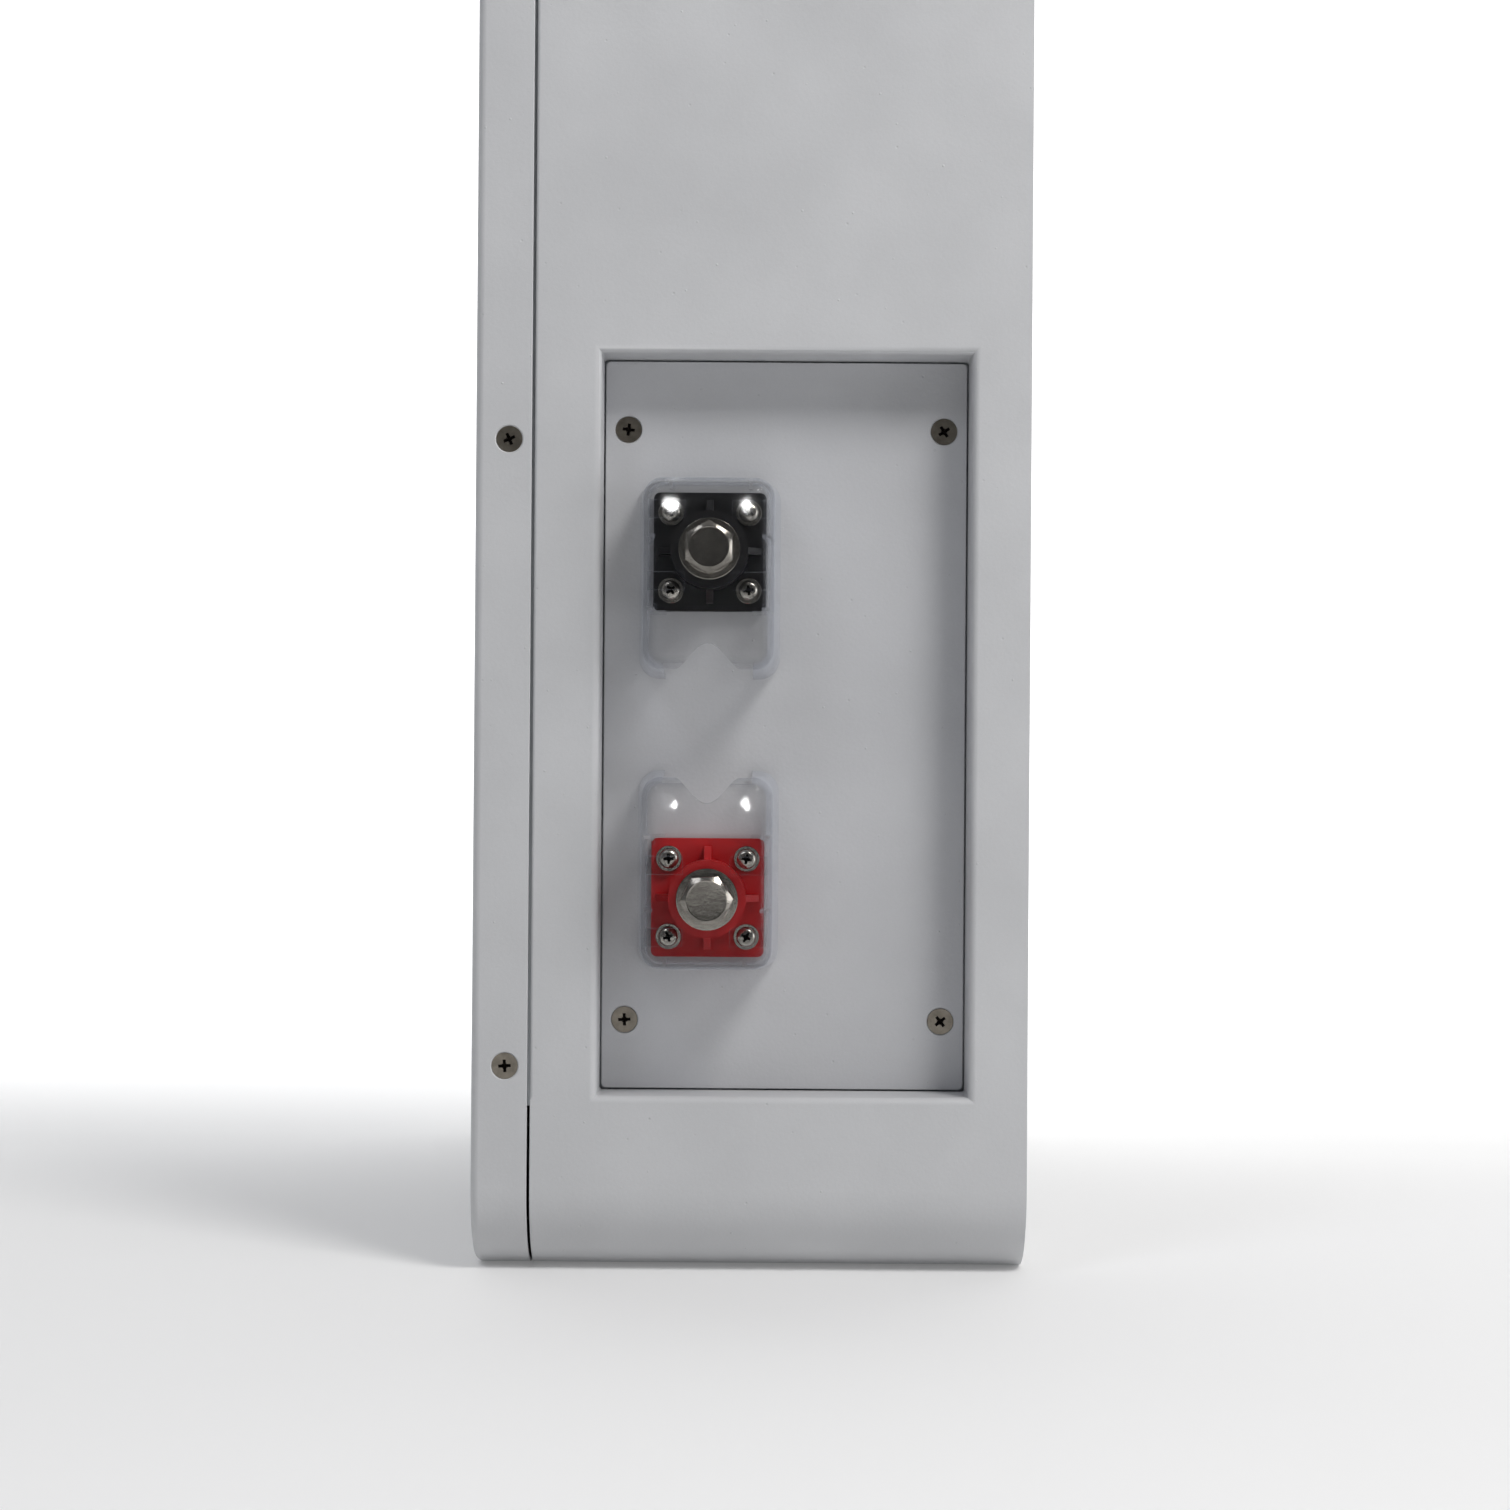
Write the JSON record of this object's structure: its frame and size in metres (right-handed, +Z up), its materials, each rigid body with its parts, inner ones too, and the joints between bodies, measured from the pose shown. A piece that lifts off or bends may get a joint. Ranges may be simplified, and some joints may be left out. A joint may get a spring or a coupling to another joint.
{
  "type": "battery cabinet terminal side",
  "caption": "Grey sheet-metal wall cabinet for a storage battery, with a recessed side panel that carries a black and a red bolt terminal under clear clip-on covers.",
  "frame": {"origin": "middle of the bounding box in X and Y, at the cabinet's underside", "axes": "+Z up, +X towards the wall behind the cabinet, -X towards the front cover, -Y out of the terminal side"},
  "size_m": [0.192, 0.438, 0.576],
  "materials": {
    "powder_coat": "fine satin powder coat, light grey, with small nibs and pits",
    "galvanised_steel": "bare zinc-coated sheet",
    "nickel_plated_steel": "warm grey nickel plate, satin",
    "stainless_steel": "cold-formed stainless, lightly polished",
    "black_nylon": "moulded glass-filled nylon, satin black",
    "red_nylon": "moulded glass-filled nylon, satin red",
    "clear_polycarbonate": "clear injection-moulded polycarbonate, glossy",
    "brass": "turned brass",
    "tinned_copper": "tin-plated copper",
    "copper": "bare rolled copper",
    "cell_sleeve": "aluminium-cased cells in a blue shrink sleeve",
    "aluminium": "extruded, plain",
    "circuit_board": "green solder mask",
    "fuse_ceramic": "unglazed ceramic body",
    "red_cable": "silicone insulation, red",
    "black_cable": "silicone insulation, black"
  },
  "bodies": {
    "cabinet": {"body_shell": "powder_coat", "back_panel": "powder_coat", "front_cover": "powder_coat", "terminal_plate": "powder_coat", "terminal_side_screw_strip": "galvanised_steel", "far_side_screw_strip": "galvanised_steel", "recess_ledge_frame": "galvanised_steel", "module_tray": "galvanised_steel", "equipment_shelf": "galvanised_steel", "cover_screw_1": "nickel_plated_steel", "cover_screw_2": "nickel_plated_steel", "cover_screw_3": "nickel_plated_steel", "cover_screw_4": "nickel_plated_steel", "cover_screw_5": "nickel_plated_steel", "cover_screw_6": "nickel_plated_steel", "plate_screw_1": "nickel_plated_steel", "plate_screw_2": "nickel_plated_steel", "plate_screw_3": "nickel_plated_steel", "plate_screw_4": "nickel_plated_steel", "negative_terminal_base": "black_nylon", "negative_insert": "brass", "negative_inner_nut": "stainless_steel", "negative_base_screw_1": "stainless_steel", "negative_base_screw_2": "stainless_steel", "negative_base_screw_3": "stainless_steel", "negative_base_screw_4": "stainless_steel", "negative_inner_lug": "tinned_copper", "negative_end_bar": "copper", "positive_terminal_base": "red_nylon", "positive_insert": "brass", "positive_inner_nut": "stainless_steel", "positive_base_screw_1": "stainless_steel", "positive_base_screw_2": "stainless_steel", "positive_base_screw_3": "stainless_steel", "positive_base_screw_4": "stainless_steel", "positive_inner_lug": "tinned_copper", "positive_end_bar": "copper", "near_lower_cell_module": "cell_sleeve", "near_upper_cell_module": "cell_sleeve", "far_lower_cell_module": "cell_sleeve", "far_upper_cell_module": "cell_sleeve", "near_module_link": "copper", "far_module_link": "copper", "lower_module_link": "copper", "bms_heat_sink": "aluminium", "bms_board": "circuit_board", "fuse_holder": "black_nylon", "main_fuse": "fuse_ceramic", "negative_cable": "black_cable", "positive_cable": "red_cable"},
    "negative_washers": {"negative_flat_washer": "stainless_steel", "negative_spring_washer": "stainless_steel"},
    "negative_bolt_body": {"negative_bolt": "stainless_steel"},
    "negative_cover_body": {"negative_terminal_cover": "clear_polycarbonate"},
    "positive_washers": {"positive_flat_washer": "stainless_steel", "positive_spring_washer": "stainless_steel"},
    "positive_bolt_body": {"positive_bolt": "stainless_steel"},
    "positive_cover_body": {"positive_terminal_cover": "clear_polycarbonate"}
  },
  "joints": [
    {"name": "negative_bolt_travel", "type": "slide", "parent": "cabinet", "child": "negative_washers", "axis": [0, -1, 0], "range_m": [0, 0.00525]},
    {"name": "negative_bolt_turn", "type": "hinge", "parent": "negative_washers", "child": "negative_bolt_body", "pos_m": [-0.015, -0.201, 0.2506], "axis": [0, -1, 0], "range_deg": [0, 1260]},
    {"name": "negative_cover_lift", "type": "slide", "parent": "cabinet", "child": "negative_cover_body", "axis": [0, -1, 0], "range_m": [0, 0.06]},
    {"name": "positive_bolt_travel", "type": "slide", "parent": "cabinet", "child": "positive_washers", "axis": [0, -1, 0], "range_m": [0, 0.00525]},
    {"name": "positive_bolt_turn", "type": "hinge", "parent": "positive_washers", "child": "positive_bolt_body", "pos_m": [-0.015, -0.201, 0.1296], "axis": [0, -1, 0], "range_deg": [0, 1260]},
    {"name": "positive_cover_lift", "type": "slide", "parent": "cabinet", "child": "positive_cover_body", "axis": [0, -1, 0], "range_m": [0, 0.06]}
  ],
  "couplings": [
    {"joint": "negative_bolt_turn", "follows": "negative_bolt_travel", "rad_per_m": 4188.8},
    {"joint": "positive_bolt_turn", "follows": "positive_bolt_travel", "rad_per_m": 4188.8}
  ]
}
